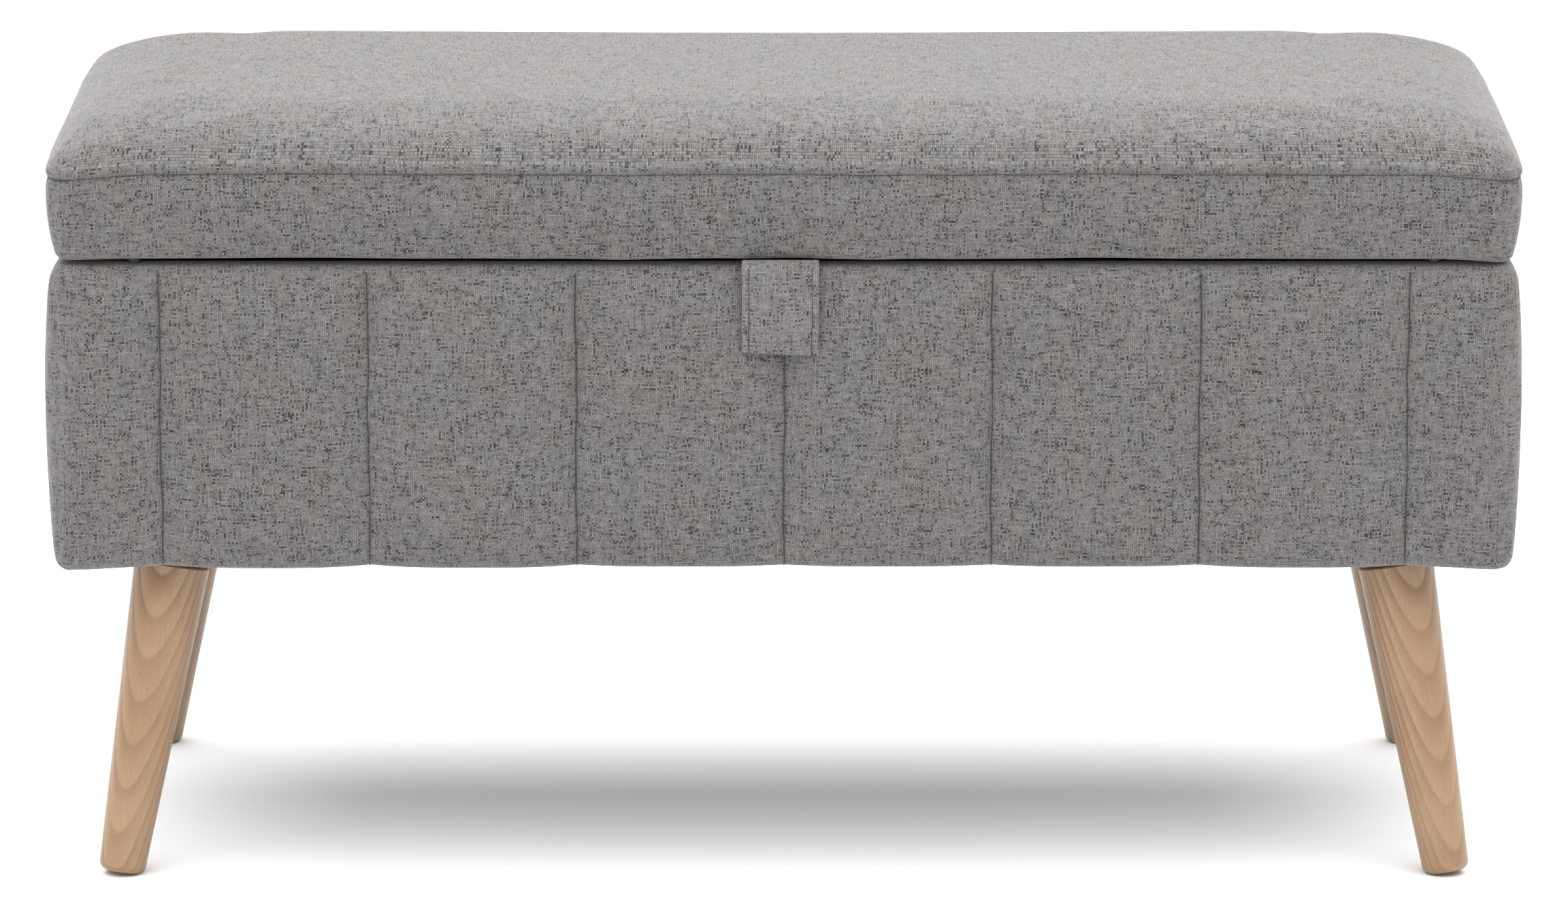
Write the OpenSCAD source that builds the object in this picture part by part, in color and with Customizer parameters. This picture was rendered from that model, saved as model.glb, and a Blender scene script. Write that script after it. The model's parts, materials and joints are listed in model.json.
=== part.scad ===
// Upholstered storage bench: a padded box on four splayed legs, with a hinged padded lid.
// Millimetres. X runs along the bench, the front faces -Y, and Z = 0 is the floor.

/* [Bench] */
// Width over the padded ends
bench_w = 1000; // [800:10:1300]
// Depth over the padded front and back
bench_d = 400; // [330:5:500]
// Height of the box's underside above the floor
under_z = 220; // [170:5:280]
// Height of the padded box
box_h = 209.6; // [170:0.2:260]
// Height of the lid's straight sides
lid_side_h = 61.6; // [50:0.2:75]
// Rise of the lid's crown above its sides
crown_h = 39; // [20:0.2:50]
// How far in from the edge the crown is still rising
crown_run = 120; // [80:5:140]

/* [Carcass] */
// Thickness of the upright panels and of the lid board
board_t = 12; // [9:1:16]
// Thickness of the bottom panel
floor_t = 15; // [12:1:20]
// Side of the square corner posts
post_w = 25; // [20:1:32]
// Depth of the hinge rail
rail_d = 30; // [25:1:36]
// Height of the hinge rail
rail_h = 20; // [16:1:28]

/* [Upholstery] */
// Thickness of the foam sheets on the box and round the lid board
foam_t = 13; // [10:1:18]
// Thickness of the cover fabric, the lining and the dust cover
fabric_t = 1; // [0.8:0.1:1.4]
// Radius of the padded corners and edges
pad_r = 12; // [9:1:13]
// Width of the fabric that is turned under and stapled
hem_w = 35; // [25:1:45]

/* [Legs] */
// Diameter at the top of a leg
leg_top_d = 52; // [44:1:60]
// Diameter at the foot
leg_foot_d = 32; // [26:1:38]
// Radius of the rounded foot edge
foot_r = 6; // [4:0.5:8]
// Lean of each leg from upright, towards its corner
splay = 13.5; // [8:0.5:15]
// Distance from the bench's end to the middle of a leg plate
leg_inset_x = 79.5; // [75:0.5:120]
// Distance from the bench's front or back to the middle of a leg plate
leg_inset_y = 56; // [52:1:80]
// Side of the square leg plate
plate_w = 68; // [66:1:76]
// Thickness of the leg plate
plate_t = 2.5; // [2:0.5:4]
// Diameter of the hanger bolt
bolt_d = 8; // [6:1:10]
// Depth of the hanger bolt in the leg
bolt_depth = 35; // [25:1:45]
// Depth worn or sanded flat at the foot
foot_trim = 1.5; // [1:0.1:2]

/* [Hinges] */
// Length of a hinge
hinge_l = 76; // [60:1:100]
// Distance from the bench's end to the middle of a hinge
hinge_inset = 180; // [140:5:220]
// Width of one leaf, from the pin's axis
leaf_w = 42; // [40:1:46]
// Thickness of a leaf
leaf_t = 1.5; // [1.2:0.1:2]
// Gap between the closed leaves
leaf_gap = 0.4; // [0.3:0.1:0.6]
// Radius of the knuckles
knuckle_r = 3.6; // [3.2:0.1:4]
// Radius of the hinge pin
pin_r = 1.6; // [1.4:0.1:1.8]
// Radial clearance of a turning pin or rivet in its bore
run_fit = 0.08; // [0.05:0.01:0.1]
// Distance of the pin's axis behind the padded back
pin_behind = 1; // [0.5:0.5:2]

/* [Lid stays] */
// Distance from the hinge axis forward to the lid bracket's pin
stay_out = 130; // [110:5:150]
// Distance from the hinge axis down to the lid bracket's pin
stay_drop = 14; // [13:1:16]
// Distance from the hinge axis forward to the damper's shaft
damper_out = 75; // [72:1:85]
// Distance from the hinge axis down to the damper's shaft
damper_drop = 70; // [60:1:85]
// Thickness of the damper housing
damper_t = 11.5; // [10:0.5:14]
// Radius of the damper housing's round ends
damper_r = 15; // [13:1:16]
// Distance between the damper housing's round ends
damper_l = 50; // [40:1:60]
// Width of the arm and the link
bar_w = 16; // [14:1:18]
// Thickness of the arm, the link and the lid bracket
bar_t = 2.5; // [2:0.5:3]
// Gap between the bars
bar_gap = 0.5; // [0.4:0.1:0.8]
// Radius of the damper's shaft
shaft_r = 4; // [3:0.5:4.5]
// Radius of the rivets
rivet_r = 3; // [2:0.5:3.5]
// Height of a rivet head
head_t = 1.5; // [1:0.1:1.8]
// Radial clearance of the lid bracket's pin in the link
loose_fit = 0.4; // [0.3:0.1:0.6]

/* [Small parts] */
// Width of the pull tab
tab_w = 52; // [40:1:70]
// Length of the pull tab below the lid
tab_l = 63; // [45:1:80]
// Thickness of one ply of the pull tab
ply_t = 1.2; // [0.9:0.1:1.3]
// Gap between the plies at the front
ply_gap = 1.8; // [1:0.1:2.5]
// Radius of a rim bumper
bumper_r = 5; // [4:0.5:5.5]
// Distance from the bench's end to a rim bumper
bumper_inset = 60; // [40:5:90]
// Gap between parts that move past each other
clear = 0.3; // [0.3:0.05:0.5]

/* [Hidden] */
$fn = 48;
HULL_FN = 24;
SEAM = 0.01;
BIG = 2000;

// Padded outline, carcass and inner faces
carcass_w = bench_w - 2 * (foam_t + fabric_t);
carcass_d = bench_d - 2 * (foam_t + fabric_t);
inner_w = carcass_w - 2 * board_t;
inner_d = carcass_d - 2 * board_t;
box_top = under_z + box_h;
floor_z = under_z + fabric_t;
floor_top = floor_z + floor_t;
rim_z = box_top - fabric_t;

// Hinge axis, lid levels
axis_y = bench_d / 2 + pin_behind;
axis_z = box_top + leaf_t + leaf_gap / 2;
lid_z = axis_z + leaf_t + leaf_gap / 2;
board_z = lid_z + fabric_t;
shoulder_z = lid_z + lid_side_h;

// Screws: shank radius, head radius, head height
plate_screw = [2, 3.8, 2.2];
leaf_screw = [1.6, 3.2, 1.3];
bracket_screw = [1.8, 3.4, 1.8];
plate_screw_l = 13;
rail_screw_l = 16;
lid_screw_l = fabric_t + board_t - 2;
screw_margin = 7.5;
hinge_screw_x = hinge_l / 2 - 13;
rail_row_y = inner_d / 2 - 8;
edge_row_y = carcass_d / 2 - board_t / 2;

// Leg tops, and the length that brings each foot to the floor
leg_x = bench_w / 2 - leg_inset_x;
leg_y = bench_d / 2 - leg_inset_y;
leg_top_z = under_z - plate_t - clear - leg_top_d / 2 * sin(splay);
foot_drop = (leg_foot_d / 2 - foot_r) * sin(splay) + foot_r * (1 - cos(splay));
leg_l = (leg_top_z - foot_drop + foot_trim) / cos(splay);
SIDES = [-1, 1];

// Planes of the lid stays, counted inwards from the lining at each end
stay_face = inner_w / 2 - fabric_t;
arm_plane = damper_t + bar_gap;
link_plane = arm_plane + bar_t + bar_gap;
bracket_plane = link_plane + bar_t + bar_gap;
damper_pt = [axis_y - damper_out, axis_z - damper_drop];
bracket_pt = [axis_y - stay_out, axis_z - stay_drop];
elbow_pt = damper_pt + [-stay_out, -stay_drop];
flange_w = 28;
flange_l = 44;
damper_screw_r = 2.2;
damper_screw_l = 9;

KNUCKLES = 5;
knuckle_gap = 0.25;
crown_steps = 6;

SIDE_NAMES = ["left", "right"];
CORNER_NAMES = ["front_left", "front_right", "rear_left", "rear_right"];
CORNERS = [[-1, -1], [1, -1], [-1, 1], [1, 1]];
PAIR_PARTS = ["hinge_box_leaf", "hinge_lid_leaf", "hinge_pin", "stay_damper", "stay_shaft",
              "stay_arm", "stay_elbow_rivet", "stay_link", "stay_lid_bracket", "stay_lid_pin"];

FABRIC = "#8f8b88";
BEECH = "#c9a57c";
PLY = "#d3b588";
FOAM = "#e8dfc2";
LINING = "#55585c";
BLACK = "#232425";
STEEL = "#b4b7ba";

// ---------- shared shapes ----------

// Block from z0 to z1 in the middle of the bench
module slab(w, d, z0, z1) {
    translate([-w / 2, -d / 2, z0]) cube([w, d, z1 - z0]);
}

// Its children once at each of four places, w and d apart
module at_corners(w, d) {
    for (c = CORNERS) translate([c[0] * w / 2, c[1] * d / 2, 0]) children();
}

// Block with every edge and corner rounded
module soft_block(w, d, z0, z1, r) {
    hull() for (z = [z0 + r, z1 - r]) at_corners(w - 2 * r, d - 2 * r)
        translate([0, 0, z]) sphere(r, $fn = HULL_FN);
}

// Cushion with a rounded lower edge, straight sides and a low crown
module crowned_block(w, d, z0, shoulder, rise, r) {
    hull() {
        at_corners(w - 2 * r, d - 2 * r) translate([0, 0, z0 + r]) sphere(r, $fn = HULL_FN);
        for (k = [0 : crown_steps]) {
            a = 90 * k / crown_steps;
            inset = crown_run * (1 - cos(a));
            at_corners(w - 2 * r - 2 * inset, d - 2 * r - 2 * inset)
                translate([0, 0, shoulder + rise * sin(a) - SEAM])
                    cylinder(h = SEAM, r = r, $fn = HULL_FN);
        }
    }
}

// Square with rounded corners, as a plate lying from z to z + t
module round_plate(w, d, r, z, t) {
    translate([0, 0, z]) linear_extrude(t) {
        square([w - 2 * r, d], center = true);
        square([w, d - 2 * r], center = true);
        at_corners(w - 2 * r, d - 2 * r) circle(r);
    }
}

// Pan-head screw with its head's underside at the origin, shank up along +Z
module pan_screw(size, l) {
    cylinder(h = l, r = size[0]);
    translate([0, 0, -size[2]]) cylinder(h = size[2], r1 = size[1] * 0.8, r2 = size[1]);
}

// Flush screw with its head's face at the origin, shank up along +Z
module flush_screw(size, l) {
    cylinder(h = size[2], r1 = size[1], r2 = size[0]);
    cylinder(h = l, r = size[0]);
}

// Flat bar with round ends between two points of the YZ plane, x from x0 to x0 + t
module yz_bar(p, q, r, x0, t) {
    run = q - p;
    translate([x0, p[0], p[1]]) rotate([90, 0, 90]) linear_extrude(t)
        rotate(atan2(run[1], run[0])) {
            translate([0, -r]) square([norm(run), 2 * r]);
            circle(r);
            translate([norm(run), 0]) circle(r);
        }
}

// Round pin along X at a point of the YZ plane
module yz_pin(p, r, x0, t) {
    translate([x0, p[0], p[1]]) rotate([0, 90, 0]) cylinder(h = t, r = r);
}

// Its children at one end of the bench: s is -1 for the left end and 1 for the right,
// and x = 0 becomes the lining's face with x running inwards
module at_end(s) {
    if (s < 0) translate([-stay_face, 0, 0]) children();
    else mirror([1, 0, 0]) translate([-stay_face, 0, 0]) children();
}

// ---------- screws ----------

module plate_screw_places() {
    o = plate_w - 2 * screw_margin;
    for (c = CORNERS) translate([c[0] * leg_x, c[1] * leg_y, under_z - plate_t])
        at_corners(o, o) children();
}

module hinge_screw_places(z) {
    for (s = SIDES) for (dx = SIDES) for (y = [rail_row_y, edge_row_y])
        translate([s * (bench_w / 2 - hinge_inset) + dx * hinge_screw_x, y, z]) children();
}

module box_hinge_screws() {
    hinge_screw_places(box_top + leaf_t) mirror([0, 0, 1]) flush_screw(leaf_screw, rail_screw_l);
}

module lid_hinge_screws() {
    hinge_screw_places(lid_z - leaf_t) flush_screw(leaf_screw, leaf_t + lid_screw_l);
}

module bracket_screws(s) {
    for (dy = SIDES) translate([s * (stay_face - bracket_plane - flange_w / 2),
                                bracket_pt[0] + dy * (flange_l / 2 - screw_margin),
                                lid_z - bar_t])
        pan_screw(bracket_screw, bar_t + lid_screw_l);
}

module damper_screws(s) {
    at_end(s) for (z = [0.5, 1]) yz_pin(damper_pt - [0, damper_l * z], damper_screw_r,
                                        -damper_screw_l, damper_screw_l + damper_t);
}

// Countersunk screws through the front and back panels into the posts
module panel_screws() {
    for (c = CORNERS) for (z = [floor_top + 40, (floor_top + rim_z) / 2, rim_z - 40])
        translate([c[0] * (inner_w - post_w) / 2, c[1] * carcass_d / 2, z])
            rotate([c[1] * 90, 0, 0]) flush_screw(leaf_screw, board_t + post_w * 0.7);
}

// ---------- carcass ----------

module front_panel() {
    color(PLY) long_panel(-1);
}

module back_panel() {
    color(PLY) long_panel(1);
}

module long_panel(side) {
    difference() {
        translate([0, side * (carcass_d - board_t) / 2, 0])
            slab(carcass_w, board_t, floor_top, rim_z);
        panel_screws();
        if (side > 0) box_hinge_screws();
    }
}

module end_panel(s) {
    difference() {
        translate([s * (carcass_w - board_t) / 2, 0, 0]) slab(board_t, inner_d, floor_top, rim_z);
        damper_screws(s);
    }
}

module bottom_panel() {
    color(PLY) difference() {
        slab(carcass_w, carcass_d, floor_z, floor_top);
        plate_screw_places() pan_screw(plate_screw, plate_screw_l);
    }
}

module corner_post(c) {
    color(PLY) difference() {
        translate([c[0] * (inner_w - post_w) / 2, c[1] * (inner_d - post_w) / 2, 0])
            slab(post_w, post_w, floor_top, rim_z);
        panel_screws();
    }
}

module hinge_rail() {
    color(PLY) difference() {
        translate([0, (inner_d - rail_d) / 2, 0])
            slab(inner_w - 2 * post_w, rail_d, rim_z - rail_h, rim_z);
        box_hinge_screws();
    }
}

// Floor plan of the space inside the panels, posts left out, pulled in by a margin
module inner_plan(margin) {
    difference() {
        square([inner_w - 2 * margin, inner_d - 2 * margin], center = true);
        at_corners(inner_w, inner_d) square(2 * (post_w + margin), center = true);
    }
}

module box_lining() {
    color(LINING) difference() {
        translate([0, 0, floor_top]) linear_extrude(rim_z - floor_top) inner_plan(0);
        translate([0, 0, floor_top + fabric_t]) linear_extrude(box_h) inner_plan(fabric_t);
        translate([0, (inner_d - rail_d) / 2, 0])
            slab(inner_w, rail_d + SEAM, rim_z - rail_h, box_top);
        for (s = SIDES) damper_screws(s);
    }
}

// ---------- box upholstery ----------

// Everything inside the cover fabric
module padded_box() {
    soft_block(bench_w - 2 * fabric_t, bench_d - 2 * fabric_t, floor_z, rim_z, pad_r);
}

// Foam on the front (-1) or the back (1), between the end sheets
module long_foam(side) {
    color(FOAM) intersection() {
        padded_box();
        translate([0, side * (carcass_d + foam_t) / 2, 0]) slab(carcass_w, foam_t, floor_z, rim_z);
    }
}

// Foam on one end, over the edges of the front and back sheets
module end_foam(s) {
    color(FOAM) intersection() {
        padded_box();
        translate([s * (carcass_w + foam_t) / 2, 0, 0]) slab(foam_t, bench_d, floor_z, rim_z);
    }
}

module box_cover() {
    color(FABRIC) difference() {
        soft_block(bench_w, bench_d, under_z, box_top, pad_r + fabric_t);
        padded_box();
        slab(carcass_w, carcass_d, floor_z, rim_z);
        slab(inner_w, inner_d, rim_z - SEAM, box_top + SEAM);
        slab(bench_w - 2 * hem_w, bench_d - 2 * hem_w, under_z - SEAM, floor_z + SEAM);
        plate_screw_places() pan_screw(plate_screw, plate_screw_l);
        box_hinge_screws();
    }
}

module dust_cover() {
    color(BLACK) difference() {
        slab(bench_w - 2 * hem_w, bench_d - 2 * hem_w, under_z, floor_z);
        plate_screw_places() pan_screw(plate_screw, plate_screw_l);
    }
}

// ---------- legs ----------

// Its children in a leg's own frame: the origin is the middle of the leg's top, +Z points
// up along the leg, and +X is the side that leans outwards
module on_leg(c) {
    translate([c[0] * leg_x, c[1] * leg_y, leg_top_z])
        rotate([0, 0, atan2(c[1], c[0])]) rotate([0, -splay, 0]) children();
}

module leg(c) {
    r_top = leg_top_d / 2;
    r_foot = leg_foot_d / 2;
    bevel = 1;
    arc = [for (a = [-90 : 15 : 0])
        [r_foot - foot_r + foot_r * cos(a), foot_r + foot_r * sin(a) - leg_l]];
    outline = concat([[0, -leg_l]], arc, [[r_top, -bevel], [r_top - bevel, 0], [0, 0]]);
    color(BEECH) difference() {
        on_leg(c) rotate_extrude($fn = 96) polygon(outline);
        on_leg(c) translate([0, 0, -bolt_depth]) cylinder(h = bolt_depth + 1, r = bolt_d / 2);
        translate([0, 0, -50]) slab(BIG, BIG, 0, 50);
    }
}

module leg_plate(c) {
    color(BLACK) difference() {
        union() {
            translate([c[0] * leg_x, c[1] * leg_y, 0])
                round_plate(plate_w, plate_w, 6, under_z - plate_t, plate_t);
            intersection() {
                on_leg(c) cylinder(h = 20, r = leg_top_d / 2 - 2.5);
                slab(BIG, BIG, 0, under_z - plate_t / 2);
            }
        }
        on_leg(c) cylinder(h = 40, r = bolt_d / 2);
        plate_screw_places() cylinder(h = plate_t + SEAM, r = plate_screw[0] + clear);
    }
}

module leg_bolts() {
    color(STEEL) for (c = CORNERS) difference() {
        on_leg(c) translate([0, 0, -bolt_depth]) cylinder(h = bolt_depth + 20, r = bolt_d / 2);
        slab(BIG, BIG, under_z - SEAM, BIG);
    }
}

module leg_plate_screws() {
    color(STEEL) plate_screw_places() pan_screw(plate_screw, plate_screw_l);
}

module carcass_screws() {
    color(STEEL) panel_screws();
}

// ---------- hinges ----------

// Which knuckles a leaf has: 0 for the box leaf's, 1 for the lid leaf's
module knuckles(parity, r, extra) {
    pitch = hinge_l / KNUCKLES;
    for (k = [parity : 2 : KNUCKLES - 1])
        translate([-hinge_l / 2 + k * pitch + knuckle_gap / 2 - extra, axis_y, axis_z])
            rotate([0, 90, 0]) cylinder(h = pitch - knuckle_gap + 2 * extra, r = r);
}

module hinge_leaf(parity, z0, bore_r) {
    difference() {
        union() {
            translate([0, axis_y - leaf_w / 2, 0]) slab(hinge_l, leaf_w, z0, z0 + leaf_t);
            knuckles(parity, knuckle_r, 0);
        }
        knuckles(1 - parity, knuckle_r + clear, knuckle_gap);
        translate([-hinge_l, axis_y, axis_z]) rotate([0, 90, 0]) cylinder(h = 2 * hinge_l, r = bore_r);
    }
}

module at_hinge(s) {
    translate([s * (bench_w / 2 - hinge_inset), 0, 0]) children();
}

module hinge_box_leaf(s) {
    color(STEEL) difference() {
        at_hinge(s) hinge_leaf(0, box_top, pin_r);
        box_hinge_screws();
    }
}

module hinge_lid_leaf(s) {
    color(STEEL) difference() {
        at_hinge(s) hinge_leaf(1, lid_z - leaf_t, pin_r + run_fit);
        lid_hinge_screws();
    }
}

module hinge_pin(s) {
    color(STEEL) at_hinge(s) translate([-hinge_l / 2, axis_y, axis_z])
        rotate([0, 90, 0]) cylinder(h = hinge_l, r = pin_r);
}

// ---------- lid stays ----------

module stay_damper(s) {
    color(BLACK) difference() {
        at_end(s) yz_bar(damper_pt - [0, damper_l], damper_pt, damper_r, 0, damper_t);
        damper_screws(s);
        at_end(s) yz_pin(damper_pt, shaft_r, damper_t / 3, damper_t);
    }
}

module stay_shaft(s) {
    outer = arm_plane + bar_t + clear;
    color(STEEL) at_end(s) {
        yz_pin(damper_pt, shaft_r, damper_t / 3, outer - damper_t / 3 + SEAM);
        yz_pin(damper_pt, shaft_r + 2, outer, head_t);
    }
}

module stay_arm(s) {
    color(STEEL) at_end(s) difference() {
        yz_bar(damper_pt, elbow_pt, bar_w / 2, arm_plane, bar_t);
        yz_pin(damper_pt, shaft_r + run_fit, 0, BIG);
        yz_pin(elbow_pt, rivet_r, 0, BIG);
    }
}

module stay_elbow_rivet(s) {
    outer = link_plane + bar_t + clear;
    color(STEEL) at_end(s) {
        yz_pin(elbow_pt, rivet_r + 2, arm_plane - head_t, head_t);
        yz_pin(elbow_pt, rivet_r, arm_plane - SEAM, outer - arm_plane + 2 * SEAM);
        yz_pin(elbow_pt, rivet_r + 2, outer, head_t);
    }
}

module stay_link(s) {
    color(STEEL) at_end(s) difference() {
        yz_bar(elbow_pt, bracket_pt, bar_w / 2, link_plane, bar_t);
        yz_pin(elbow_pt, rivet_r + run_fit, 0, BIG);
        yz_pin(bracket_pt, rivet_r + loose_fit, 0, BIG);
    }
}

module stay_lid_bracket(s) {
    r = bar_w / 2;
    color(STEEL) difference() {
        at_end(s) {
            yz_bar(bracket_pt, bracket_pt + [0, r / 4], r, bracket_plane, bar_t);
            translate([bracket_plane, bracket_pt[0] - r, bracket_pt[1]])
                cube([bar_t, 2 * r, lid_z - bracket_pt[1]]);
            translate([bracket_plane, bracket_pt[0] - flange_l / 2, lid_z - bar_t])
                cube([flange_w, flange_l, bar_t]);
        }
        at_end(s) yz_pin(bracket_pt, rivet_r, 0, BIG);
        bracket_screws(s);
    }
}

module stay_lid_pin(s) {
    back = link_plane - clear;
    color(STEEL) at_end(s) {
        yz_pin(bracket_pt, rivet_r + 2, back - head_t, head_t);
        yz_pin(bracket_pt, rivet_r, back - SEAM, bracket_plane + bar_t - back + SEAM);
    }
}

// ---------- lid ----------

module lid_board() {
    color(PLY) difference() {
        slab(carcass_w, carcass_d, board_z, board_z + board_t);
        lid_hinge_screws();
        for (s = SIDES) bracket_screws(s);
    }
}

// Everything inside the lid's cover fabric
module padded_lid() {
    crowned_block(bench_w - 2 * fabric_t, bench_d - 2 * fabric_t, board_z, shoulder_z,
                  crown_h - fabric_t, pad_r);
}

module lid_foam() {
    color(FOAM) difference() {
        padded_lid();
        slab(carcass_w, carcass_d, board_z - 1, board_z + board_t);
    }
}

module lid_cover() {
    color(FABRIC) difference() {
        crowned_block(bench_w, bench_d, lid_z, shoulder_z, crown_h, pad_r + fabric_t);
        padded_lid();
        slab(carcass_w, carcass_d, board_z, board_z + board_t);
        slab(bench_w - 2 * hem_w, bench_d - 2 * hem_w, lid_z - SEAM, board_z + SEAM);
        lid_hinge_screws();
    }
}

module lid_lining() {
    color(LINING) difference() {
        slab(bench_w - 2 * hem_w, bench_d - 2 * hem_w, lid_z, board_z);
        lid_hinge_screws();
        for (s = SIDES) bracket_screws(s);
    }
}

// Folded loop, stapled under the lid and hanging over the front of the box
module pull_tab() {
    back = -bench_d / 2 - clear * 3;
    front = back - 2 * ply_t - ply_gap;
    low = lid_z - tab_l;
    r = (back - front) / 2;
    arc = [for (a = [180 : 20 : 360]) [back - r + r * cos(a), low + r + r * sin(a)]];
    hole = [for (a = [180 : 20 : 360])
        [back - r + (r - ply_t) * cos(a), low + r + (r - ply_t) * sin(a)]];
    top = lid_z - 2 * ply_t;
    slot_top = top - 12;
    outline = concat([[front, top - 3]], arc,
                     [[back, top], [-carcass_d / 2 + 20, top], [-carcass_d / 2 + 20, lid_z],
                      [front + 3, lid_z]]);
    slot = concat(hole, [[back - ply_t, slot_top], [back - r, slot_top + 6], [front + ply_t, slot_top]]);
    color(FABRIC) translate([-tab_w / 2, 0, 0]) rotate([90, 0, 90]) linear_extrude(tab_w)
        difference() {
            polygon(outline);
            polygon(slot);
        }
}

// Felt pads on the front rim that the closed lid comes down on
module rim_bumpers() {
    color(BLACK) for (s = SIDES)
        translate([s * (bench_w / 2 - bumper_inset), -edge_row_y, box_top - SEAM])
            cylinder(h = lid_z - clear - box_top, r = bumper_r);
}

// ---------- the bench ----------

front_panel();
back_panel();
color(PLY) end_panel(-1);  // left_panel
color(PLY) end_panel(1);  // right_panel
bottom_panel();
hinge_rail();
box_lining();
long_foam(-1);  // foam_front
long_foam(1);  // foam_back
end_foam(-1);  // foam_left
end_foam(1);  // foam_right
box_cover();
dust_cover();
leg_bolts();
leg_plate_screws();
carcass_screws();
rim_bumpers();
for (i = [0 : 3]) {
    corner_post(CORNERS[i]);
    leg(CORNERS[i]);
    leg_plate(CORNERS[i]);
}
for (i = [0 : 1]) {
    hinge_box_leaf(SIDES[i]);
    hinge_lid_leaf(SIDES[i]);
    hinge_pin(SIDES[i]);
    stay_damper(SIDES[i]);
    stay_shaft(SIDES[i]);
    stay_arm(SIDES[i]);
    stay_elbow_rivet(SIDES[i]);
    stay_link(SIDES[i]);
    stay_lid_bracket(SIDES[i]);
    stay_lid_pin(SIDES[i]);
}
color(STEEL) box_hinge_screws();  // hinge_box_screws
color(STEEL) lid_hinge_screws();  // hinge_lid_screws
color(STEEL) for (s = SIDES) damper_screws(s);  // stay_damper_screws
color(STEEL) for (s = SIDES) bracket_screws(s);  // stay_bracket_screws
lid_board();
lid_foam();
lid_cover();
lid_lining();
pull_tab();
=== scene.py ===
# %% [markdown]
# # A padded storage bench
# The bench is a box of boards on four splayed beech legs. A foam-padded cloth cover with sewn
# channels is pulled over the box, and a padded lid with a pull tab is hinged along the back.
# The structure, the hinges and the lid stays come ready-made as the frame. This script gives
# each of them its finish, and makes the soft parts, because cloth needs shapes that plain
# solids don't have: puffed channels, a rolled lid edge, seams and stitches.

# %% Load the frame
import json
import math
import random
from collections import namedtuple

import bpy
import numpy as np
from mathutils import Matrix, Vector


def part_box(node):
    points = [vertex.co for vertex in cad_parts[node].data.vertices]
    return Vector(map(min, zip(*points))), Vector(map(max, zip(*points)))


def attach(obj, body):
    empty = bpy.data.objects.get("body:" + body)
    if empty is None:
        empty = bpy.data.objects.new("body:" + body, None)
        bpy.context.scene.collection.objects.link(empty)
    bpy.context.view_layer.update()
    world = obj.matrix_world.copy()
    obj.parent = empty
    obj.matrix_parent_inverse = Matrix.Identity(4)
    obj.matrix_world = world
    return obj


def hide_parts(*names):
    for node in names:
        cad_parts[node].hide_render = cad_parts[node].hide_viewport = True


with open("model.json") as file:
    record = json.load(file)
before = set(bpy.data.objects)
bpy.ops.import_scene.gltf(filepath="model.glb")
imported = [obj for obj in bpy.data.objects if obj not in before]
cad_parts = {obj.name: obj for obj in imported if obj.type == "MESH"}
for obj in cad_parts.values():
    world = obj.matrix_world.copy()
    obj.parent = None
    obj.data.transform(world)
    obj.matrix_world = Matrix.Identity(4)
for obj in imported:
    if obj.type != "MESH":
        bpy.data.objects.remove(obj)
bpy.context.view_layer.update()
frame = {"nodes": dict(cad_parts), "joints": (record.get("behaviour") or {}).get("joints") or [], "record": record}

nodes = frame["nodes"]
scene = bpy.context.scene
MM = 0.001

# %% [markdown]
# ## Measures
# Every place comes from the frame, so the soft parts still fit when the frame changes. The box
# cover and the lid cover in the frame are plain shells of the right size: their corners give
# the outline, and the hinge joint gives the line between lid and box.

# %% Measure the box, the lid and the hinge
box_lo, box_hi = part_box("box_cover")
lid_lo, lid_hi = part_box("lid_cover")
tab_lo, tab_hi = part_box("pull_tab")
panel_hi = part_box("front_panel")[1]
hinge = next(j for j in frame["joints"] if j["name"] == "lid_hinge")
hinge_z = hinge["pos_m"][2]
half_w = box_hi.x
half_d = box_hi.y
wall = half_d + panel_hi.y
print(f"box {2 * half_w:.3f} x {2 * half_d:.3f} m, padded wall {wall:.3f} m, hinge at {hinge_z:.3f} m")

# %% [markdown]
# ## Short names for node trees
# Both materials and Geometry Nodes are trees of nodes. Writing every node by hand takes four
# lines each, so this small helper adds a node, fills or links its inputs and hands it back.

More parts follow.
